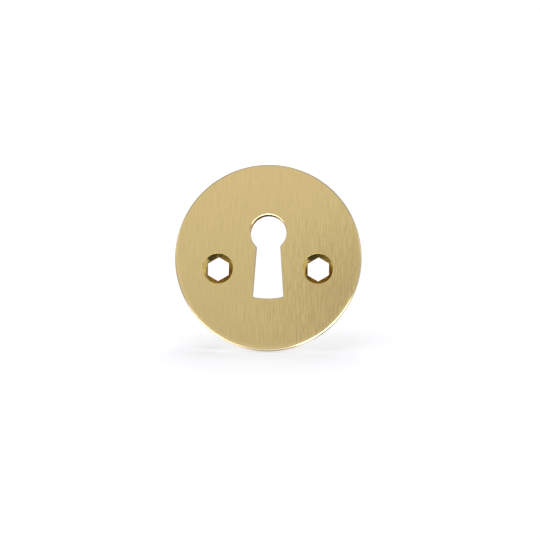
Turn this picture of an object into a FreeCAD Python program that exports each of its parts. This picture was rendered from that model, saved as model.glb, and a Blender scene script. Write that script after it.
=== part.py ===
import FreeCAD, Part
import math
import os
import Sketcher
from FreeCAD import Vector

# Keyhole escutcheon: a round plate of solid brass that is screwed over the keyhole of a door.
#
# Millimetres. The plate stands upright as on a door: its back lies on the plane Y = 0, its front
# looks towards -Y, +Z is up and the origin is the middle of the disc on the door's surface.

doc = FreeCAD.newDocument("keyhole_escutcheon")

# Driving sizes
SIZES = (
    ("plate_diameter", 50.0, "outside of the disc"),
    ("plate_thickness", 3.0, "door side to front face"),
    ("rim_chamfer", 0.4, "front edge of the disc, 45 degrees"),
    ("back_chamfer", 0.2, "deburred edges on the door side"),
    ("key_round_diameter", 9.75, "round upper part of the keyhole"),
    ("key_round_height", 6.6, "axis of the round part above the middle of the disc"),
    ("slot_reach", 17.55, "axis of the round part down to the foot of the slot"),
    ("slot_neck_width", 6.35, "slot where it leaves the round part"),
    ("slot_foot_width", 8.25, "slot at its foot, measured to the sharp corners"),
    ("slot_corner_radius", 0.4, "rounded lower corners of the slot"),
    ("keyhole_chamfer", 0.4, "front edge of the keyhole, 45 degrees"),
    ("screw_spacing", 26.8, "one screw hole to the other"),
    ("screw_drop", 3.05, "screw holes below the middle of the disc"),
    ("countersink_diameter", 8.2, "mouth of the round countersink"),
    ("countersink_angle", 90.0, "full angle of the cone"),
    ("hexagon_across_flats", 5.7, "hexagonal hole that keeps a sleeve nut from turning"),
)
sheet = doc.addObject("Spreadsheet::Sheet", "Sizes")
for row, (alias, number, note) in enumerate(SIZES, start=1):
    sheet.set(f"A{row}", alias)
    sheet.set(f"B{row}", str(number))
    sheet.set(f"C{row}", note)
    sheet.setAlias(f"B{row}", alias)
doc.recompute()


def size(alias):
    """The number that stands in the sheet under this alias."""
    return float(sheet.get(alias))


def origin_plane(body, role):
    """One of the body's own three base planes."""
    return next(o for o in body.Origin.OriginFeatures if o.Role == role)


def new_sketch(body, name, plane, offsets):
    """An empty sketch on a base plane, moved off it by expressions for its own x, y and normal."""
    sketch = body.newObject("Sketcher::SketchObject", name)
    sketch.AttachmentSupport = [(origin_plane(body, plane), "")]
    sketch.MapMode = "FlatFace"
    for axis, expression in offsets.items():
        sketch.setExpression(f"AttachmentOffset.Base.{axis}", expression)
    return sketch


def drive(sketch, name, kind, *args, expression):
    """A dimension in a sketch, named and bound to the sheet."""
    index = sketch.addConstraint(Sketcher.Constraint(kind, *args))
    sketch.renameConstraint(index, name)
    sketch.setExpression(f"Constraints.{name}", expression)


def edges_where(feature, wanted):
    """Names of the feature's edges that pass a test."""
    return [f"Edge{i}" for i, edge in enumerate(feature.Shape.Edges, start=1) if wanted(edge)]


def lies_on(edge, depth):
    """Does the whole edge lie in the plane that is this far in front of the door?"""
    box = edge.BoundBox
    return abs(box.YMin + depth) < 1e-4 and abs(box.YMax + depth) < 1e-4


def within(edge, radius):
    """Does the edge stay inside a circle of this radius round the middle of the disc?"""
    return max(abs(edge.BoundBox.XMin), abs(edge.BoundBox.XMax)) < radius


START, END, CENTRE = range(1, 4)
H_AXIS, V_AXIS = range(-1, -3, -1)
ROOT = (H_AXIS, START)

plate = doc.addObject("PartDesign::Body", "escutcheon_plate")
plate.Label = "escutcheon_plate"
plate.Placement = FreeCAD.Placement(Vector(0, 0, 0), FreeCAD.Rotation())

# The disc, from the door's surface to the front
disc = new_sketch(plate, "DiscOutline", "XZ_Plane", {})
disc.addGeometry(Part.Circle(Vector(0, 0, 0), Vector(0, 0, 1), size("plate_diameter") / 2), False)
disc.addConstraint(Sketcher.Constraint("Coincident", 0, CENTRE, *ROOT))
drive(disc, "outside", "Diameter", 0, size("plate_diameter"), expression="Sizes.plate_diameter")

blank = plate.newObject("PartDesign::Pad", "Blank")
blank.Profile = disc
blank.setExpression("Length", "Sizes.plate_thickness")
doc.recompute()

# The keyhole: a round part with a slot under it that widens to a foot bowed about the same axis
keyhole = new_sketch(plate, "KeyholeOutline", "XZ_Plane", {"z": "Sizes.plate_thickness"})
axis_height = size("key_round_height")
round_radius = size("key_round_diameter") / 2
neck_x = size("slot_neck_width") / 2
foot_x = size("slot_foot_width") / 2
neck_y = axis_height - (round_radius**2 - neck_x**2) ** 0.5
foot_y = axis_height - (size("slot_reach") ** 2 - foot_x**2) ** 0.5
neck_left, neck_right = Vector(-neck_x, neck_y, 0), Vector(neck_x, neck_y, 0)
foot_left, foot_right = Vector(-foot_x, foot_y, 0), Vector(foot_x, foot_y, 0)
crown = Vector(0, axis_height + round_radius, 0)
heel = Vector(0, axis_height - size("slot_reach"), 0)
keyhole.addGeometry(
    [
        Part.Arc(neck_right, crown, neck_left),
        Part.LineSegment(neck_left, foot_left),
        Part.Arc(foot_left, heel, foot_right),
        Part.LineSegment(foot_right, neck_right),
    ],
    False,
)
CROWN_ARC, LEFT_SIDE, FOOT_ARC, RIGHT_SIDE = range(4)
keyhole.addConstraint(
    [
        Sketcher.Constraint("Coincident", CROWN_ARC, END, LEFT_SIDE, START),
        Sketcher.Constraint("Coincident", LEFT_SIDE, END, FOOT_ARC, START),
        Sketcher.Constraint("Coincident", FOOT_ARC, END, RIGHT_SIDE, START),
        Sketcher.Constraint("Coincident", RIGHT_SIDE, END, CROWN_ARC, START),
        Sketcher.Constraint("PointOnObject", CROWN_ARC, CENTRE, V_AXIS),
        Sketcher.Constraint("Coincident", FOOT_ARC, CENTRE, CROWN_ARC, CENTRE),
        Sketcher.Constraint("Horizontal", LEFT_SIDE, START, RIGHT_SIDE, END),
        Sketcher.Constraint("Horizontal", LEFT_SIDE, END, RIGHT_SIDE, START),
    ]
)
drive(keyhole, "height", "DistanceY", *ROOT, CROWN_ARC, CENTRE, axis_height,
      expression="Sizes.key_round_height")
drive(keyhole, "crown", "Diameter", CROWN_ARC, 2 * round_radius,
      expression="Sizes.key_round_diameter")
drive(keyhole, "reach", "Radius", FOOT_ARC, size("slot_reach"), expression="Sizes.slot_reach")
drive(keyhole, "neck", "DistanceX", LEFT_SIDE, START, RIGHT_SIDE, END, 2 * neck_x,
      expression="Sizes.slot_neck_width")
drive(keyhole, "foot", "DistanceX", LEFT_SIDE, END, RIGHT_SIDE, START, 2 * foot_x,
      expression="Sizes.slot_foot_width")

opening = plate.newObject("PartDesign::Pocket", "Keyhole")
opening.Profile = keyhole
opening.Type = "ThroughAll"
doc.recompute()

corners = plate.newObject("PartDesign::Fillet", "SlotCorners")
corners.Base = (
    opening,
    edges_where(
        opening,
        lambda e: e.BoundBox.YLength > size("plate_thickness") / 2
        and abs(e.BoundBox.ZMin - foot_y) < 1e-3
        and abs(abs(e.BoundBox.XMin) - foot_x) < 1e-3,
    ),
)
corners.setExpression("Radius", "Sizes.slot_corner_radius")
doc.recompute()

# The right screw hole: a cone turned about the screw's axis, then a hexagon with a corner at the top
cone = new_sketch(
    plate,
    "CountersinkProfile",
    "XY_Plane",
    {"x": "Sizes.screw_spacing / 2", "z": "-Sizes.screw_drop"},
)
front = -size("plate_thickness")
mouth = size("countersink_diameter") / 2
depth = mouth / math.tan(math.radians(size("countersink_angle") / 2))
cone.addGeometry(
    [
        Part.LineSegment(Vector(0, front, 0), Vector(mouth, front, 0)),
        Part.LineSegment(Vector(mouth, front, 0), Vector(0, front + depth, 0)),
        Part.LineSegment(Vector(0, front + depth, 0), Vector(0, front, 0)),
    ],
    False,
)
MOUTH_LINE, CONE_LINE, AXIS_LINE = range(3)
cone.addConstraint(
    [
        Sketcher.Constraint("Coincident", MOUTH_LINE, END, CONE_LINE, START),
        Sketcher.Constraint("Coincident", CONE_LINE, END, AXIS_LINE, START),
        Sketcher.Constraint("Coincident", AXIS_LINE, END, MOUTH_LINE, START),
        Sketcher.Constraint("Horizontal", MOUTH_LINE),
        Sketcher.Constraint("PointOnObject", MOUTH_LINE, START, V_AXIS),
        Sketcher.Constraint("PointOnObject", CONE_LINE, END, V_AXIS),
    ]
)
drive(cone, "front", "DistanceY", MOUTH_LINE, START, *ROOT, -front,
      expression="Sizes.plate_thickness")
drive(cone, "mouth", "Distance", MOUTH_LINE, mouth, expression="Sizes.countersink_diameter / 2")
drive(cone, "depth", "Distance", AXIS_LINE, depth,
      expression="Sizes.countersink_diameter / 2 / tan(Sizes.countersink_angle / 2 * 1 deg)")

countersink = plate.newObject("PartDesign::Groove", "Countersink")
countersink.Profile = cone
countersink.ReferenceAxis = (cone, ["V_Axis"])
countersink.Angle = 360
doc.recompute()

hexagon = new_sketch(
    plate,
    "HexagonOutline",
    "XZ_Plane",
    {"x": "Sizes.screw_spacing / 2", "y": "-Sizes.screw_drop", "z": "Sizes.plate_thickness"},
)
corner_radius = size("hexagon_across_flats") / 2 / math.cos(math.radians(30))
tips = [
    Vector(corner_radius * math.cos(turn), corner_radius * math.sin(turn), 0)
    for turn in (math.radians(30 + 60 * i) for i in range(6))
]
hexagon.addGeometry([Part.LineSegment(tips[i - 1], tip) for i, tip in enumerate(tips)], False)
hexagon.addGeometry(Part.Circle(Vector(0, 0, 0), Vector(0, 0, 1), corner_radius), True)
ROUND = len(tips)
hexagon.addConstraint(Sketcher.Constraint("Coincident", ROUND, CENTRE, *ROOT))
for side in range(ROUND):
    hexagon.addConstraint(
        Sketcher.Constraint("Coincident", side, END, (side + 1) % ROUND, START)
    )
    hexagon.addConstraint(Sketcher.Constraint("PointOnObject", side, START, ROUND))
for side in range(1, ROUND):
    hexagon.addConstraint(Sketcher.Constraint("Equal", 0, side))
hexagon.addConstraint(Sketcher.Constraint("Vertical", 0))
drive(hexagon, "corners", "Radius", ROUND, corner_radius,
      expression="Sizes.hexagon_across_flats / sqrt(3)")

socket = plate.newObject("PartDesign::Pocket", "HexagonHole")
socket.Profile = hexagon
socket.Type = "ThroughAll"
doc.recompute()

# The left screw hole is the right one mirrored
pair = plate.newObject("PartDesign::Mirrored", "ScrewHoles")
pair.Originals = [countersink, socket]
pair.MirrorPlane = (origin_plane(plate, "YZ_Plane"), [""])
plate.Tip = pair
doc.recompute()

# Broken edges: the rim and the keyhole in front, then the same two outlines on the door side
inner = size("screw_spacing") / 2 - size("countersink_diameter") / 2
outer = size("screw_spacing") / 2 + size("countersink_diameter") / 2
rim = plate.newObject("PartDesign::Chamfer", "RimChamfer")
rim.Base = (
    pair,
    edges_where(pair, lambda e: lies_on(e, size("plate_thickness")) and not within(e, outer + 0.5)),
)
rim.setExpression("Size", "Sizes.rim_chamfer")
doc.recompute()

lead_in = plate.newObject("PartDesign::Chamfer", "KeyholeChamfer")
lead_in.Base = (
    rim,
    edges_where(rim, lambda e: lies_on(e, size("plate_thickness")) and within(e, inner)),
)
lead_in.setExpression("Size", "Sizes.keyhole_chamfer")
doc.recompute()

deburr = plate.newObject("PartDesign::Chamfer", "BackChamfer")
deburr.Base = (
    lead_in,
    edges_where(
        lead_in, lambda e: lies_on(e, 0.0) and (within(e, inner) or not within(e, outer + 0.5))
    ),
)
deburr.setExpression("Size", "Sizes.back_chamfer")
plate.Tip = deburr
doc.recompute()

# Every feature has to take something off the one before it
steps = [blank, opening, corners, countersink, socket, pair, rim, lead_in, deburr]
volumes = [feature.Shape.Volume for feature in steps]
for feature, before, after in zip(steps[1:], volumes, volumes[1:]):
    if feature is not corners and after > before - 1e-3:
        raise RuntimeError(f"{feature.Name} takes nothing off the plate")
    if feature is corners and after < before + 1e-3:
        raise RuntimeError(f"{feature.Name} leaves the corners sharp")

for thing in doc.Objects:
    if {"Invalid", "Error"} & set(thing.State):
        raise RuntimeError(f"{thing.Name} is {thing.State}")
if plate.Shape.isNull() or not plate.Shape.isValid() or len(plate.Shape.Solids) != 1:
    raise RuntimeError("the plate isn't one valid solid")

os.makedirs("parts", exist_ok=True)
plate.Shape.exportStep(f"parts/{plate.Label}.step")
print(plate.Label, round(plate.Shape.Volume, 3), "mm3", plate.Shape.BoundBox)
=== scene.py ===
import math

import bmesh
import bpy
from mathutils import Matrix, Vector


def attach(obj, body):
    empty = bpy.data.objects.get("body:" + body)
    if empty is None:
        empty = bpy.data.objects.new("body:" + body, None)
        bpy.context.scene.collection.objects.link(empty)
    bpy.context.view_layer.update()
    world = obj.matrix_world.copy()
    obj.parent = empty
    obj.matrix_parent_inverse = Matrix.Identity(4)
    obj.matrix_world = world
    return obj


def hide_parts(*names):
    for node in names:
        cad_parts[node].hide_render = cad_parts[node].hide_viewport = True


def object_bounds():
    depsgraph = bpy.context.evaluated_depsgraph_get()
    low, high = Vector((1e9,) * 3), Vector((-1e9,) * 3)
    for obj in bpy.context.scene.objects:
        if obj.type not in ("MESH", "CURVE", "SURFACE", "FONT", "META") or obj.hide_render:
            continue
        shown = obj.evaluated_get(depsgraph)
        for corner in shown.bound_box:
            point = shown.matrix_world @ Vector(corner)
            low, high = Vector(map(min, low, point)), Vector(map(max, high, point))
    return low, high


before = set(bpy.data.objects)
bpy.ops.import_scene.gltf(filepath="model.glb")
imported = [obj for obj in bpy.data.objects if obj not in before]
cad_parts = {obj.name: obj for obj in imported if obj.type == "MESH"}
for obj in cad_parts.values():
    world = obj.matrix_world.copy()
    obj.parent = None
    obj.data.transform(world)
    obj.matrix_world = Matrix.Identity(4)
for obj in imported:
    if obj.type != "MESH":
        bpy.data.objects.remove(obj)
cad_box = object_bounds()
scene = bpy.context.scene


# The brushed front: solid brass, drawn by hand over an abrasive belt so that its fine grain stands
# upright, then lacquered. Towards the lower right the grain runs deeper, and the face there is coloured
# darker, a painted shade; along the lower margin it is coloured paler, a painted highlight.
def node(tree, kind, label, **settings):
    """A node with a plain label, its settings and its unlinked inputs."""
    made = tree.nodes.new(kind)
    made.label = made.name = label
    for key, value in settings.items():
        if hasattr(made, key):
            setattr(made, key, value)
        else:
            made.inputs[key.replace("_", " ")].default_value = value
    return made


def sums(tree, operation, label, *terms):
    """One step of arithmetic on sockets and numbers."""
    made = node(tree, "ShaderNodeMath", label, operation=operation)
    for socket, term in zip(made.inputs, terms):
        if isinstance(term, (int, float)):
            socket.default_value = term
        else:
            tree.links.new(term, socket)
    return made.outputs["Value"]


def ramp(tree, label, value, start, end, low=0.0, high=1.0):
    """From low to high, smoothly, while the value goes from start to end."""
    made = node(tree, "ShaderNodeMapRange", label, interpolation_type="SMOOTHSTEP")
    made.inputs["From Min"].default_value, made.inputs["From Max"].default_value = start, end
    made.inputs["To Min"].default_value, made.inputs["To Max"].default_value = low, high
    tree.links.new(value, made.inputs["Value"])
    return made.outputs["Result"]


def away_from(tree, label, place, point):
    """How far a place on the piece is from one point of it, in metres."""
    made = node(tree, "ShaderNodeVectorMath", label, operation="DISTANCE")
    made.inputs[1].default_value = point
    tree.links.new(place, made.inputs[0])
    return made.outputs["Value"]


def drawn_grain():
    """Streaks left by an abrasive: long one way, thin the other, in a coarse and a fine set."""
    group = bpy.data.node_groups.new("drawn grain", "ShaderNodeTree")
    for name, kind, start in (
        ("Place", "NodeSocketVector", (0, 0, 0)),
        ("Stretch", "NodeSocketVector", (1, 1, 1)),
        ("Fine", "NodeSocketFloat", 0.5),
    ):
        group.interface.new_socket(name=name, in_out="INPUT", socket_type=kind).default_value = start
    group.interface.new_socket(name="Streaks", in_out="OUTPUT", socket_type="NodeSocketFloat")
    given = group.nodes.new("NodeGroupInput")
    result = group.nodes.new("NodeGroupOutput")
    laid = node(group, "ShaderNodeVectorMath", "along and across", operation="MULTIPLY")
    coarse = node(group, "ShaderNodeTexNoise", "coarse", Scale=1.0, Detail=2.0, Roughness=0.6)
    closer = node(group, "ShaderNodeVectorMath", "closer together", operation="MULTIPLY")
    closer.inputs[1].default_value = (3.7, 3.7, 2.3)
    fine = node(group, "ShaderNodeTexNoise", "fine", Scale=1.0, Detail=3.0, Roughness=0.65)
    both = node(group, "ShaderNodeMix", "coarse and fine", data_type="FLOAT")
    for start, end in (
        (given.outputs["Place"], laid.inputs[0]), (given.outputs["Stretch"], laid.inputs[1]),
        (laid.outputs["Vector"], coarse.inputs["Vector"]), (laid.outputs["Vector"], closer.inputs[0]),
        (closer.outputs["Vector"], fine.inputs["Vector"]), (given.outputs["Fine"], both.inputs["Factor"]),
        (coarse.outputs["Fac"], both.inputs["A"]), (fine.outputs["Fac"], both.inputs["B"]),
        (both.outputs["Result"], result.inputs["Streaks"]),
    ):
        group.links.new(start, end)
    return group


grain_group = drawn_grain()


def streaks(tree, label, place, stretch, fine):
    """The drawn grain as one material has it: its stretch each way and its share of fine streaks."""
    grain = node(tree, "ShaderNodeGroup", label, node_tree=grain_group)
    grain.inputs["Stretch"].default_value, grain.inputs["Fine"].default_value = stretch, fine
    tree.links.new(place, grain.inputs["Place"])
    return grain.outputs["Streaks"]


def brass(name, roughness, anisotropy):
    """A bare brass, with its plain numbers on the shader's own sockets."""
    material = bpy.data.materials.new(name)
    material.use_nodes = True
    shader = material.node_tree.nodes["Principled BSDF"]
    shader.inputs["Metallic"].default_value = 1.0
    shader.inputs["Roughness"].default_value = roughness
    shader.inputs["Anisotropic"].default_value = anisotropy
    return material, material.node_tree, shader


def marked_by_grain_and_painted_light(tree, shader, marks, dull, bright, rough, bump):
    """Lets marks change the colour, the roughness and, a little, the surface's slope."""
    tint = node(tree, "ShaderNodeMix", "dull to bright", data_type="RGBA")
    tint.inputs["A"].default_value = (*dull, 1)
    tint.inputs["B"].default_value = (*bright, 1)
    gloss = node(tree, "ShaderNodeMapRange", "gloss", From_Min=0.25, From_Max=0.75)
    gloss.inputs["To Min"].default_value, gloss.inputs["To Max"].default_value = rough
    relief = node(tree, "ShaderNodeBump", "relief")
    relief.inputs["Strength"].default_value, relief.inputs["Distance"].default_value = bump
    for start, end in (
        (marks, tint.inputs["Factor"]), (marks, gloss.inputs["Value"]), (marks, relief.inputs["Height"]),
        (tint.outputs["Result"], shader.inputs["Base Color"]),
        (gloss.outputs["Result"], shader.inputs["Roughness"]),
        (relief.outputs["Normal"], shader.inputs["Normal"]),
    ):
        tree.links.new(start, end)


def grain_runs(tree, shader):
    """The shader's grain runs across the U direction of the plate's own map."""
    way = node(tree, "ShaderNodeTangent", "across the grain", direction_type="UV_MAP", uv_map="grain")
    tree.links.new(way.outputs["Tangent"], shader.inputs["Tangent"])


FRONT = cad_box[0][1]
PAINTED_SHADE_CENTRE, BELT_SCORED = (0.0265, FRONT, -0.010), (0.020, FRONT, -0.012)
brushed, tree, shader = brass("brushed face", 0.20, 0.8)
place = node(tree, "ShaderNodeTexCoord", "place on the plate").outputs["Object"]
height = node(tree, "ShaderNodeSeparateXYZ", "up the plate")
tree.links.new(place, height.inputs["Vector"])
grain = streaks(tree, "upright grain", place, (3000, 1, 170), 0.55)
# Painted shade: the face's colour is made darker round a point at the lower right.
painted_shade = ramp(tree, "painted_shade", away_from(tree, "away from the painted_shade_spot", place, PAINTED_SHADE_CENTRE), 0.030, 0.002)
painted_shade_tint = sums(tree, "MULTIPLY_ADD", "duller there", painted_shade, -0.42, 0.55)
scored = away_from(tree, "away from where it scored most", place, BELT_SCORED)
deeper = ramp(tree, "deeper there", scored, 0.036, 0.010, 1.25, 3.9)
out_from_middle = away_from(tree, "out from the middle", place, (0, FRONT, 0))
# Painted highlight: near its edge in the lower half the face's colour is made paler.
margin = ramp(tree, "margin the wheel rubbed", out_from_middle, 0.0236, 0.0246)
lower_half = ramp(tree, "lower half", height.outputs["Z"], 0.010, -0.008)
painted_highlight = sums(tree, "MULTIPLY", "rubbed there", margin, lower_half)
paler = sums(tree, "MULTIPLY_ADD", "paler there", painted_highlight, 0.42, painted_shade_tint)
centred = sums(tree, "SUBTRACT", "about nothing", grain, 0.5)
shown = sums(tree, "MULTIPLY_ADD", "as deep as it shows", centred, deeper, paler)
# The grain, the painted shade and the painted highlight together set the face's colour, roughness and relief.
marked_by_grain_and_painted_light(
    tree, shader, shown, dull=(0.66, 0.505, 0.222), bright=(0.90, 0.695, 0.325), rough=(0.23, 0.17),
    bump=(0.12, 0.00001),
)
grain_runs(tree, shader)

# The bevelled and rounded edges: turned on the rim and milled round the keyhole, then polished by
# the same wheel that breaks the edges, so they are smoother and paler than the face.
polished, tree, shader = brass("polished edge", 0.16, 0.0)
shader.inputs["Specular Tint"].default_value = (0.80, 0.69, 0.46, 1)
place = node(tree, "ShaderNodeUVMap", "along the edge", uv_map="grain").outputs["UV"]
grain = streaks(tree, "polishing marks", place, (300, 9000, 1), 0.5)
marked_by_grain_and_painted_light(
    tree, shader, grain, dull=(0.77, 0.635, 0.37), bright=(0.85, 0.725, 0.47), rough=(0.20, 0.13),
    bump=(0.08, 0.00001),
)

# The machined walls of the keyhole and the hexagons: left as the cutter left them, rough, with marks
# that run from front to back, and coloured darker and browner than the face: painted shade.
machined, tree, shader = brass("machined wall", 0.30, 0.0)
shader.inputs["Specular Tint"].default_value = (0.60, 0.41, 0.13, 1)
place = node(tree, "ShaderNodeUVMap", "round the wall", uv_map="grain").outputs["UV"]
grain = streaks(tree, "cutter marks", place, (3500, 250, 1), 0.4)
marked_by_grain_and_painted_light(
    tree, shader, grain, dull=(0.44, 0.30, 0.08), bright=(0.60, 0.41, 0.13), rough=(0.22, 0.15),
    bump=(0.1, 0.00002),
)

# The countersinks: turned with a pointed cutter after the face was brushed, so the brass is bright
# and deep in colour there, with fine rings round the screw's axis.
turned, tree, shader = brass("turned countersink", 0.10, 0.3)
place = node(tree, "ShaderNodeUVMap", "round the cone", uv_map="grain").outputs["UV"]
grain = streaks(tree, "turning rings", place, (120, 6000, 1), 0.5)
marked_by_grain_and_painted_light(
    tree, shader, grain, dull=(0.80, 0.58, 0.17), bright=(0.92, 0.67, 0.22), rough=(0.13, 0.08),
    bump=(0.10, 0.00001),
)
grain_runs(tree, shader)

# The side that lies on the door: the sheet's own rolled surface, which is never brushed or
# lacquered, so it is duller, with faint cloudy tarnish.
rolled, tree, shader = brass("rolled back", 0.38, 0.0)
place = node(tree, "ShaderNodeTexCoord", "place on the plate").outputs["Object"]
grain = streaks(tree, "rolling marks", place, (60, 1, 700), 0.35)
marked_by_grain_and_painted_light(
    tree, shader, grain, dull=(0.56, 0.41, 0.17), bright=(0.78, 0.60, 0.28), rough=(0.46, 0.33),
    bump=(0.1, 0.00002),
)

# A screw hole: a cone turned into the front, running into a hexagon that is broached through the
# plate with one corner at the top. Both holes are the same, one on each side of the keyhole. The
# cone's mouth and tip are a little rounded, and rows of points beside them keep the cone straight.
MM = 0.001
THICKNESS = 3.0
MOUTH_RADIUS, HALF_FLATS = 4.1, 2.85
COUNTERSINK_ANGLE = 92.6
SOFT_MOUTH, SOFT_TIP = 0.13, 0.03
SCREW_SPACING, SCREW_DROP = 26.8, 3.05
HOLE_STEPS, MOUTH_STEPS = 96, 3
CONE_ROWS = (0.05, 0.95, 1.0)
TIP_ROWS = ((0.25, 0.25), (0, 1.5), (0, 3))
dip = math.radians(90 - COUNTERSINK_ANGLE / 2)


def skin(mesh, rows, slots, layer):
    """Quads between closed rows of vertices. Each band has its slot; the map runs along and down."""
    level = 0.0
    for a, b, slot in zip(rows, rows[1:], slots):
        along = 0.0
        for i in range(len(a)):
            j = (i + 1) % len(a)
            step = (a[j].co - a[i].co).length
            down = (b[i].co - a[i].co).length
            face = mesh.faces.new((a[i], a[j], b[j], b[i]))
            face.material_index = slot
            face.smooth = True
            low = level + down
            places = ((along, level), (along + step, level), (along + step, low), (along, low))
            for corner, uv in zip(face.loops, places):
                corner[layer].uv = uv
            along += step
        level += down


def cone_depth(radius):
    """How deep the cone is where it is this wide."""
    return (MOUTH_RADIUS - radius) * math.tan(dip)


rows = []
for k in range(MOUTH_STEPS + 1):
    lean = dip * k / MOUTH_STEPS
    radius = MOUTH_RADIUS + SOFT_MOUTH * (math.tan(dip / 2) - math.sin(lean))
    depth = SOFT_MOUTH * (1 - math.cos(lean))
    rows.append([(radius, depth)] * HOLE_STEPS)
flats = [HALF_FLATS / math.cos(math.radians((i * 360 / HOLE_STEPS) % 60 - 30)) for i in range(HOLE_STEPS)]
tip = [(r + SOFT_TIP, cone_depth(r + SOFT_TIP)) for r in flats]
for share in CONE_ROWS:
    rows.append([(radius + (r - radius) * share, depth + (d - depth) * share) for r, d in tip])
cone_bands = len(rows) - 1
for inwards, below in TIP_ROWS:
    rows.append([(r + SOFT_TIP * inwards, cone_depth(r) + SOFT_TIP * below) for r in flats])
rows.append([(r, THICKNESS) for r in flats])
wall_bands = len(rows) - 1 - cone_bands

hole_mesh = bmesh.new()
cut = hole_mesh.faces.layers.bool.new("turned")
layer = hole_mesh.loops.layers.uv.new("grain")
turns = [math.radians(90 + i * 360 / HOLE_STEPS) for i in range(HOLE_STEPS)]
rings = [
    [
        hole_mesh.verts.new((r * math.cos(turn) * MM, (d - THICKNESS) * MM, r * math.sin(turn) * MM))
        for (r, d), turn in zip(row, turns)
    ]
    for row in rows
]
skin(hole_mesh, rings, [0] * cone_bands + [1] * wall_bands, layer)
for face in hole_mesh.faces:
    face[cut] = face.material_index == 0
hole_data = bpy.data.meshes.new("screw_hole")
hole_mesh.to_mesh(hole_data)
hole_mesh.free()
one_hole = bpy.data.objects.new("screw_hole", hole_data)
scene.collection.objects.link(one_hole)

pair_tree = bpy.data.node_groups.new("pair of screw holes", "GeometryNodeTree")
for name, kind in (
    ("Geometry", "NodeSocketGeometry"), ("Spacing", "NodeSocketFloat"), ("Drop", "NodeSocketFloat"),
    ("Turned", "NodeSocketMaterial"), ("Broached", "NodeSocketMaterial"),
):
    pair_tree.interface.new_socket(name=name, in_out="INPUT", socket_type=kind)
pair_tree.interface.new_socket(name="Geometry", in_out="OUTPUT", socket_type="NodeSocketGeometry")
given = pair_tree.nodes.new("NodeGroupInput")
result = pair_tree.nodes.new("NodeGroupOutput")
half = node(pair_tree, "ShaderNodeMath", "half to the left", operation="MULTIPLY")
half.inputs[1].default_value = -0.5
below = node(pair_tree, "ShaderNodeMath", "below the middle", operation="MULTIPLY")
below.inputs[1].default_value = -1.0
first = node(pair_tree, "ShaderNodeCombineXYZ", "left screw")
apart = node(pair_tree, "ShaderNodeCombineXYZ", "to the right screw")
screws = node(pair_tree, "GeometryNodeMeshLine", "screw axes", mode="OFFSET", Count=2)
placed = node(pair_tree, "GeometryNodeInstanceOnPoints", "a hole at each")
solid = node(pair_tree, "GeometryNodeRealizeInstances", "one mesh")
walls = node(pair_tree, "GeometryNodeSetMaterial", "broached walls")
cones = node(pair_tree, "GeometryNodeSetMaterial", "turned cones")
is_cone = node(pair_tree, "GeometryNodeInputNamedAttribute", "is turned", data_type="BOOLEAN")
is_cone.inputs["Name"].default_value = "turned"
for start, end in (
    (given.outputs["Spacing"], half.inputs[0]), (half.outputs["Value"], first.inputs["X"]),
    (given.outputs["Drop"], below.inputs[0]), (below.outputs["Value"], first.inputs["Z"]),
    (given.outputs["Spacing"], apart.inputs["X"]),
    (first.outputs["Vector"], screws.inputs["Start Location"]),
    (apart.outputs["Vector"], screws.inputs["Offset"]),
    (screws.outputs["Mesh"], placed.inputs["Points"]),
    (given.outputs["Geometry"], placed.inputs["Instance"]),
    (placed.outputs["Instances"], solid.inputs["Geometry"]),
    (solid.outputs["Geometry"], walls.inputs["Geometry"]),
    (given.outputs["Broached"], walls.inputs["Material"]),
    (walls.outputs["Geometry"], cones.inputs["Geometry"]),
    (is_cone.outputs["Attribute"], cones.inputs["Selection"]),
    (given.outputs["Turned"], cones.inputs["Material"]),
    (cones.outputs["Geometry"], result.inputs["Geometry"]),
):
    pair_tree.links.new(start, end)
doubling = one_hole.modifiers.new("pair of screw holes", "NODES")
doubling.node_group = pair_tree
sockets = {item.name: item.identifier for item in pair_tree.interface.items_tree if item.in_out == "INPUT"}
doubling[sockets["Spacing"]] = SCREW_SPACING * MM
doubling[sockets["Drop"]] = SCREW_DROP * MM
doubling[sockets["Turned"]] = turned
doubling[sockets["Broached"]] = machined
ready = one_hole.evaluated_get(bpy.context.evaluated_depsgraph_get())
both_holes = bpy.data.meshes.new_from_object(ready)
bpy.data.objects.remove(one_hole)

# The escutcheon plate: one disc of solid brass 3 mm thick, turned, with its keyhole milled through
# and its front edges bevelled and softened. The cutter leaned a little, so the keyhole's wall tapers.
# The mesh takes in both screw holes, so the whole part is one closed skin.
DISC_RADIUS, BACK_BEVEL, SOFT_EDGE = 25.0, 0.2, 0.12
RIM_BEVEL = {"width": 0.38, "depth": 0.28, "taper": 0.0, "lift": 0.0}
KEYHOLE_BEVEL = {"width": 0.24, "depth": 0.18, "taper": 0.06, "lift": 0.11}
KEY_AXIS, KEY_RADIUS, SLOT_REACH = Vector((0, 6.55)), 4.76, 17.55
NECK_HALF, FOOT_HALF, FOOT_CORNER = 3.13, 4.08, 0.4
SOFT_STEPS, BEVEL_ROWS, WALL_ROW = 4, (0.08, 0.92), 0.05
RIM_STEPS, CROWN_STEPS, SIDE_STEPS, CORNER_STEPS, FOOT_STEPS = 288, 40, 12, 8, 10
SHARPEST_SMOOTH = math.radians(28)
FACE, EDGE, WALL, CONE, BACK = range(5)


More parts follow.
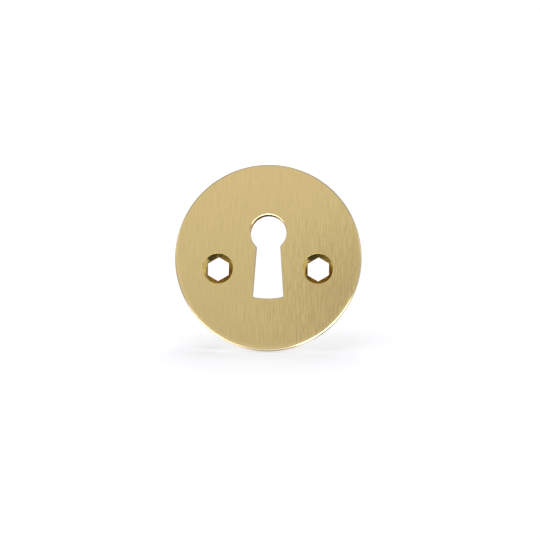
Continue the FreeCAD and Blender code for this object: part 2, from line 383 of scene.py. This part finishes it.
def bevelled(width, depth, taper, lift):
    """Steps over an edge, each as (into the metal, depth, lifted by).

    They go round a soft brim, down the bevel, round a soft lip and down the wall, which starts this
    much wider and higher than it ends, and then over the small bevel at the back.
    """
    slope, upright = math.atan2(depth, width), math.radians(90)
    brim_at = width + SOFT_EDGE * math.tan(slope / 2)
    lip_at = depth + SOFT_EDGE * math.tan((upright - slope) / 2)
    brim, lip = [], []
    for k in range(SOFT_STEPS + 1):
        lean = slope * k / SOFT_STEPS
        brim.append((brim_at - SOFT_EDGE * math.sin(lean), SOFT_EDGE * (1 - math.cos(lean))))
        lean = slope + (upright - slope) * k / SOFT_STEPS
        lip.append((SOFT_EDGE * (1 - math.sin(lean)), lip_at - SOFT_EDGE * math.cos(lean)))
    (start, high), (end, low) = brim[-1], lip[0]
    bevel = [(start + (end - start) * share, high + (low - high) * share) for share in BEVEL_ROWS]
    front = [(inset + taper, down, lift) for inset, down in brim + bevel + lip + [(0, lip_at + WALL_ROW)]]
    return front + [(0, THICKNESS - BACK_BEVEL, 0), (BACK_BEVEL, THICKNESS, 0)]


def rim_loop(inwards, lift):
    """The disc's outline, this far in from its outside and lifted by so much."""
    radius = DISC_RADIUS - inwards
    turns = [math.radians(i * 360 / RIM_STEPS) for i in range(RIM_STEPS)]
    return [Vector((radius * math.sin(turn), radius * math.cos(turn) + lift)) for turn in turns]


def arc(centre, radius, start, end, count):
    """Points round a centre, from one angle to just before another."""
    turns = [start + (end - start) * k / count for k in range(count)]
    return [centre + Vector((math.cos(turn), math.sin(turn))) * radius for turn in turns]


def keyhole_loop(outwards, lift):
    """The keyhole's outline, this far out from its wall and lifted by so much.

    Its right half goes down from the crown, by side and corner to the foot, and is then mirrored.
    """
    axis, reach = KEY_AXIS + Vector((0, lift)), SLOT_REACH + lift
    neck = axis + Vector((NECK_HALF, -math.sqrt(KEY_RADIUS**2 - NECK_HALF**2)))
    foot = axis + Vector((FOOT_HALF, -math.sqrt(reach**2 - FOOT_HALF**2)))
    down = (foot - neck).normalized()
    aside = Vector((-down.y, down.x))

    def along_side(start, radius):
        """Where a line down the slot's side meets a circle round the key's axis."""
        away = start - axis
        ahead = away.dot(down)
        return start + down * (math.sqrt(ahead**2 - away.length_squared + radius**2) - ahead)

    corner = along_side(neck - aside * FOOT_CORNER, reach - FOOT_CORNER)
    top = along_side(neck + aside * outwards, KEY_RADIUS + outwards)
    low = corner + aside * (FOOT_CORNER + outwards)
    neck_turn = math.atan2(top.y - axis.y, top.x)
    heel_turn = math.atan2(corner.y - axis.y, corner.x)
    right = arc(axis, KEY_RADIUS + outwards, math.pi / 2, neck_turn, CROWN_STEPS)
    right += [top.lerp(low, k / SIDE_STEPS) for k in range(SIDE_STEPS)]
    right += arc(corner, FOOT_CORNER + outwards, math.atan2(aside.y, aside.x), heel_turn, CORNER_STEPS)
    right += arc(axis, reach + outwards, heel_turn, -math.pi / 2, FOOT_STEPS)
    heel = axis - Vector((0, reach + outwards))
    left = [Vector((-p.x, p.y)) for p in reversed(right[1:])]
    return right + [heel] + left


skin_mesh = bmesh.new()
layer = skin_mesh.loops.layers.uv.new("grain")
for outline, bevel, wall in ((rim_loop, RIM_BEVEL, EDGE), (keyhole_loop, KEYHOLE_BEVEL, WALL)):
    steps = bevelled(**bevel)
    rings = [
        [skin_mesh.verts.new((p.x * MM, (depth - THICKNESS) * MM, p.y * MM)) for p in outline(inset, lift)]
        for inset, depth, lift in steps
    ]
    skin(skin_mesh, rings, [EDGE] * (len(steps) - 4) + [wall, wall, EDGE], layer)
finishes = {FACE: brushed, EDGE: polished, WALL: machined, CONE: turned, BACK: rolled}
slots = [finishes[slot] for slot in sorted(finishes)]
for polygon in both_holes.polygons:
    polygon.material_index = slots.index(both_holes.materials[polygon.material_index])
skin_mesh.from_mesh(both_holes)
for level, slot in ((-THICKNESS * MM, FACE), (0.0, BACK)):
    rim = [e for e in skin_mesh.edges if e.is_boundary and all(abs(v.co.y - level) < 1e-8 for v in e.verts)]
    filled = bmesh.ops.triangle_fill(skin_mesh, use_beauty=True, use_dissolve=False, edges=rim)
    for face in (f for f in filled["geom"] if isinstance(f, bmesh.types.BMFace)):
        face.material_index = slot
        face.smooth = False
        for corner in face.loops:
            corner[layer].uv = (corner.vert.co.x, corner.vert.co.z)
bmesh.ops.recalc_face_normals(skin_mesh, faces=skin_mesh.faces)
for edge in skin_mesh.edges:
    edge.smooth = edge.calc_face_angle(0.0) < SHARPEST_SMOOTH
plate_data = bpy.data.meshes.new("brass_escutcheon")
skin_mesh.to_mesh(plate_data)
skin_mesh.free()
for material in slots:
    plate_data.materials.append(material)
plate = bpy.data.objects.new("brass_escutcheon", plate_data)
scene.collection.objects.link(plate)
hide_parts("escutcheon_plate")
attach(plate, "root")

# The camera: a long lens a little below the plate's own axis and to the right of it, because the
# plate leans back on the table. The picture is 540 pixels wide, and the aim is in its pixels.
LENS_TO_PLATE = 0.700
CAMERA_RIGHT, CAMERA_BELOW, CAMERA_TURN = math.radians(3.58), math.radians(6.13), math.radians(0.56)
PICTURE_WIDTH, PIXELS_PER_MM = 540, 3.742
AIM_RIGHT, AIM_BELOW = 2.00, 12.84
SENSOR_WIDTH = 36
towards_camera = Vector((
    math.sin(CAMERA_RIGHT) * math.cos(CAMERA_BELOW),
    -math.cos(CAMERA_RIGHT) * math.cos(CAMERA_BELOW),
    -math.sin(CAMERA_BELOW),
))
level_right = Vector((math.cos(CAMERA_RIGHT), math.sin(CAMERA_RIGHT), 0))
level_up = towards_camera.cross(level_right)
image_right = level_right * math.cos(CAMERA_TURN) + level_up * math.sin(CAMERA_TURN)
image_up = level_up * math.cos(CAMERA_TURN) - level_right * math.sin(CAMERA_TURN)
pixel = MM / PIXELS_PER_MM
aim = Vector((0, FRONT, 0)) + image_right * AIM_RIGHT * pixel - image_up * AIM_BELOW * pixel
camera = bpy.data.objects.new("camera", bpy.data.cameras.new("camera"))
camera.data.sensor_width = SENSOR_WIDTH
camera.data.lens = SENSOR_WIDTH * LENS_TO_PLATE / (pixel * PICTURE_WIDTH)
camera.data.clip_start = 0.01
camera.data.clip_end = 20
camera.matrix_world = Matrix.Translation(aim + towards_camera * LENS_TO_PLATE) @ Matrix(
    (image_right, image_up, towards_camera)
).transposed().to_4x4()
scene.collection.objects.link(camera)
scene.camera = camera

# The table: a flat board, matt and white, which shows only from above. The plate leans back on its
# lower rear edge, so in the plate's own upright frame the table top slopes down towards the camera.
# The lens sees it whiter than it is lit, with a painted shadow along the foot, and the metal mirrors only
# what is close to the foot and behind it, where it sees a painted contact shadow and a painted glow.
CAMERA_OVER_TABLE = math.radians(9)
HALF_TABLE = 1.5
table_up = image_up * math.cos(CAMERA_OVER_TABLE) + towards_camera * math.sin(CAMERA_OVER_TABLE)
table_back = table_up.cross(image_right)
foot = min((v.co.copy() for v in plate_data.vertices), key=lambda p: p.dot(table_up))
corners = [(x * HALF_TABLE, y * HALF_TABLE) for x, y in ((-1, -1), (1, -1), (1, 1), (-1, 1))]
table_data = bpy.data.meshes.new("table_top")
table_data.from_pydata([foot + image_right * x + table_back * y for x, y in corners], [], [(0, 1, 2, 3)])
laid_out = table_data.uv_layers.new(name="from the foot")
for loop, corner in zip(laid_out.data, corners):
    loop.uv = corner
table = bpy.data.objects.new("table_top", table_data)
scene.collection.objects.link(table)

white = bpy.data.materials.new("matt white table")
white.use_nodes = True
tree = white.node_tree
tree.nodes.clear()
from_foot = node(tree, "ShaderNodeUVMap", "from the foot", uv_map="from the foot").outputs["UV"]
far = node(tree, "ShaderNodeVectorMath", "how far off", operation="LENGTH")
tree.links.new(from_foot, far.inputs[0])
sides = node(tree, "ShaderNodeSeparateXYZ", "across and back")
tree.links.new(from_foot, sides.inputs["Vector"])
off, across, back = far.outputs["Value"], sides.outputs["X"], sides.outputs["Y"]
aside = sums(tree, "ABSOLUTE", "to either side", across)

# Painted shadow: the glow that the lens sees is made darker along the line the plate stands on, under the
# disc, narrower and further forward at the right.
narrower = ramp(tree, "narrower at the right", across, -0.004, 0.012, 0.0, 0.003)
shifted = sums(tree, "ADD", "a little behind", back, sums(tree, "SUBTRACT", "or in front", narrower, 0.002))
off_line = sums(tree, "ABSOLUTE", "off the line it stands on", shifted)
beside_foot = ramp(tree, "beside the foot", aside, 0.010, 0.017)
overhang = sums(tree, "MULTIPLY", "under it", beside_foot, ramp(tree, "within the disc", aside, 0.032, 0.021))
near_line = sums(tree, "ADD", "near the line", off_line, narrower)
darker = ramp(tree, "darker close to it", near_line, 0.010, 0.001, 0.0, -0.100)
painted_shadow = sums(tree, "MULTIPLY", "shade there", overhang, darker)
white_with_painted_shadow = sums(tree, "ADD", "white", ramp(tree, "whiter far off", off, 0.0, 0.60, 0.652, 0.90), painted_shadow)

# What the metal sees of the table is painted: a painted contact shadow, dark at the foot, and a painted glow,
# brighter in a narrow strip just in front of it.
in_front = sums(tree, "LESS_THAN", "in front", back, -0.002)
contact = ramp(tree, "dark at the contact", off, 0.004, 0.012, 0.20, 0.80)
painted_glow_to_metal = sums(tree, "MULTIPLY_ADD", "brighter in front", in_front, 0.54, contact)
under_it = ramp(tree, "under it or behind", back, -0.0050, -0.0042)
near = sums(tree, "MULTIPLY", "near the plate", under_it, ramp(tree, "close by", off, 0.020, 0.013))

paper = node(tree, "ShaderNodeBsdfDiffuse", "paper")
paper.inputs["Color"].default_value = (0.594, 0.598, 0.638, 1)
glow = node(tree, "ShaderNodeEmission", "white to the lens")
seen = node(tree, "ShaderNodeLightPath", "who looks")
lens, metal = seen.outputs["Is Camera Ray"], seen.outputs["Is Glossy Ray"]
to_lens = sums(tree, "MULTIPLY", "to the lens", lens, white_with_painted_shadow)
strength = sums(tree, "MULTIPLY_ADD", "and to metal", metal, painted_glow_to_metal, to_lens)
not_near = sums(tree, "SUBTRACT", "not near", 1.0, near)
elsewhere = sums(tree, "MULTIPLY", "metal sees the studio elsewhere", metal, not_near)
surface = node(tree, "ShaderNodeNewGeometry", "which side")
unseen = sums(tree, "MAXIMUM", "nothing there", surface.outputs["Backfacing"], elsewhere)
total = node(tree, "ShaderNodeAddShader", "paper and glow")
clear = node(tree, "ShaderNodeBsdfTransparent", "clear from below")
side = node(tree, "ShaderNodeMixShader", "above or below")
out = node(tree, "ShaderNodeOutputMaterial", "surface")
for start, end in (
    (strength, glow.inputs["Strength"]), (unseen, side.inputs["Fac"]),
    (paper.outputs["BSDF"], total.inputs[0]), (glow.outputs["Emission"], total.inputs[1]),
    (total.outputs["Shader"], side.inputs[1]), (clear.outputs["BSDF"], side.inputs[2]),
    (side.outputs["Shader"], out.inputs["Surface"]),
):
    tree.links.new(start, end)
table_data.materials.append(white)

# The studio: a white room, which the lens sees as plain white. What the metal mirrors is uneven:
# walls brighter above and at the left, dimmer overhead and at the right, dark below the lens, a
# white sheet low in front of the plate, a dark gap between them and a dark band down behind.
scene.view_settings.view_transform = "Standard"
world = bpy.data.worlds.new("studio")
world.use_nodes = True
scene.world = world
tree = world.node_tree
parts = node(tree, "ShaderNodeSeparateXYZ", "x, y, z")
tree.links.new(node(tree, "ShaderNodeTexCoord", "direction").outputs["Generated"], parts.inputs["Vector"])
x, y, z = (parts.outputs[axis] for axis in "XYZ")

WALLS, RISE = 0.760, 0.30
TILT, TILT_WIDTH = 0.22, 0.30
higher = ramp(tree, "higher up", z, 0.04, 0.19)
walls_at = sums(tree, "MULTIPLY_ADD", "brighter above", higher, RISE * WALLS, WALLS * (1 - RISE / 2))
ahead = ramp(tree, "in front", y, -0.35, -0.75)
sideways = sums(tree, "DIVIDE", "to the right", x, TILT_WIDTH)
squared = sums(tree, "MULTIPLY", "squared", sideways, sideways)
spread = sums(tree, "EXPONENT", "dies away", sums(tree, "MULTIPLY", "negative", squared, -1.0))
each_way = sums(tree, "MULTIPLY", "each way", sideways, spread)
leftward = sums(tree, "MULTIPLY", "brighter at the left", each_way, -TILT)
lit = sums(tree, "ADD", "walls", sums(tree, "MULTIPLY", "in front only", leftward, ahead), walls_at)

DARKNESS, DARKNESS_LOW = 0.94, 0.45
below_lens = sums(tree, "MULTIPLY", "low and in front", ramp(tree, "below", z, 0.045, -0.020), ahead)
darkness = ramp(tree, "lighter under the lens", z, -0.06, -0.13, DARKNESS, DARKNESS_LOW)
dark = sums(tree, "MULTIPLY", "dark in front", below_lens, darkness)
lens_side = sums(tree, "MULTIPLY", "lens side", lit, sums(tree, "SUBTRACT", "not dark", 1.0, dark))
overhead = ramp(tree, "overhead", z, 0.30, 0.62, 1.0, 0.60)
zenith = ramp(tree, "straight up", z, 0.86, 0.97, 0.0, 0.15)
ceiling = sums(tree, "ADD", "less so straight up", overhead, zenith)
dimmer = sums(tree, "MULTIPLY", "dimmer overhead", lens_side, ceiling)

low = ramp(tree, "low", z, -0.28, -0.46)
far_edge = ramp(tree, "far edge of the sheet", y, -0.22, -0.36)
forward = sums(tree, "MULTIPLY", "forward", far_edge, ramp(tree, "near edge of the sheet", y, -0.52, -0.46))
off_middle = sums(tree, "ABSOLUTE", "off the middle", x)
nearest = ramp(tree, "brightest in the middle", off_middle, 0.55, 0.15, 2.7, 4.2)
on_sheet = sums(tree, "MULTIPLY", "low and forward", low, forward)
sheet = sums(tree, "MULTIPLY_ADD", "white sheet below", on_sheet, nearest, dimmer)

slanted = sums(tree, "MULTIPLY_ADD", "lower at the left", x, 0.15, z)
beneath = ramp(tree, "straight down", slanted, -0.38, -0.62)
close = ramp(tree, "close to the plate", y, -0.30, -0.21)
gap_depth = ramp(tree, "darkest at the right", x, 0.3, -0.9, -0.95, -0.76)
down_close = sums(tree, "MULTIPLY", "down and close", beneath, close)
gap = sums(tree, "MULTIPLY_ADD", "dark straight down", down_close, gap_depth, 1.0)
at_right = ramp(tree, "at the right", x, 0.5, 0.8)
beside = sums(tree, "MULTIPLY", "level with it", at_right, ramp(tree, "beside it", y, -0.30, -0.20))
dimmer_up = ramp(tree, "dimmer higher up", z, -0.10, 0.20, -0.03, -0.20)
flank = sums(tree, "MULTIPLY", "and higher", beside, dimmer_up)
with_gap = sums(tree, "MULTIPLY", "straight down", sheet, gap)
front_half = sums(tree, "MULTIPLY", "front", with_gap, sums(tree, "ADD", "less beside", flank, 1.0))

straight_back = ramp(tree, "straight back", y, 0.90, 0.975)
backdrop = sums(tree, "MULTIPLY_ADD", "white behind", straight_back, 0.35, front_half)
behind = ramp(tree, "behind", y, -0.05, 0.10)
under = sums(tree, "MULTIPLY", "back and under", behind, ramp(tree, "under the axis", z, -0.02, -0.08))
strip = sums(tree, "MULTIPLY", "down behind", under, ramp(tree, "narrow band", off_middle, 0.30, 0.15))
dark_strip = sums(tree, "MULTIPLY_ADD", "dark band behind", strip, -0.72, 1.0)
in_metal = sums(tree, "MULTIPLY", "what metal sees", backdrop, dark_strip)

AMBIENT = 0.2
seen = node(tree, "ShaderNodeLightPath", "who looks")
straight = sums(tree, "LESS_THAN", "not by way of the table", seen.outputs["Diffuse Depth"], 0.5)
shiny = sums(tree, "MULTIPLY", "in the metal", seen.outputs["Is Glossy Ray"], straight)
on_paper = sums(tree, "MULTIPLY", "on paper", sums(tree, "SUBTRACT", "not metal", 1.0, shiny), AMBIENT)
shaded = sums(tree, "MULTIPLY_ADD", "studio", shiny, in_metal, on_paper)
strength = sums(tree, "MAXIMUM", "white to the lens", seen.outputs["Is Camera Ray"], shaded)
background = tree.nodes["Background"]
background.inputs["Color"].default_value = (1, 1, 1, 1)
tree.links.new(strength, background.inputs["Strength"])

# The two softboxes: wide lamps over the table, one in front and one behind, which give the plate's
# soft shadow. Neither the lens nor the metal sees them.
SOFTBOX_WIDTH, SOFTBOX_HEIGHT, WATTS = 0.5, 0.4, 1.4
LIT_SPOT = Vector((0, 0, -0.02))
for name, place in (("front softbox", (-0.10, -0.45, 0.55)), ("rear softbox", (0.03, 0.22, 0.62))):
    lamp = bpy.data.lights.new(name, "AREA")
    lamp.shape = "RECTANGLE"
    lamp.size, lamp.size_y, lamp.energy = SOFTBOX_WIDTH, SOFTBOX_HEIGHT, WATTS
    holder = bpy.data.objects.new(name, lamp)
    facing = (LIT_SPOT - Vector(place)).to_track_quat("-Z", "Y")
    holder.matrix_world = Matrix.LocRotScale(Vector(place), facing, None)
    holder.visible_camera = False
    holder.visible_glossy = False
    scene.collection.objects.link(holder)
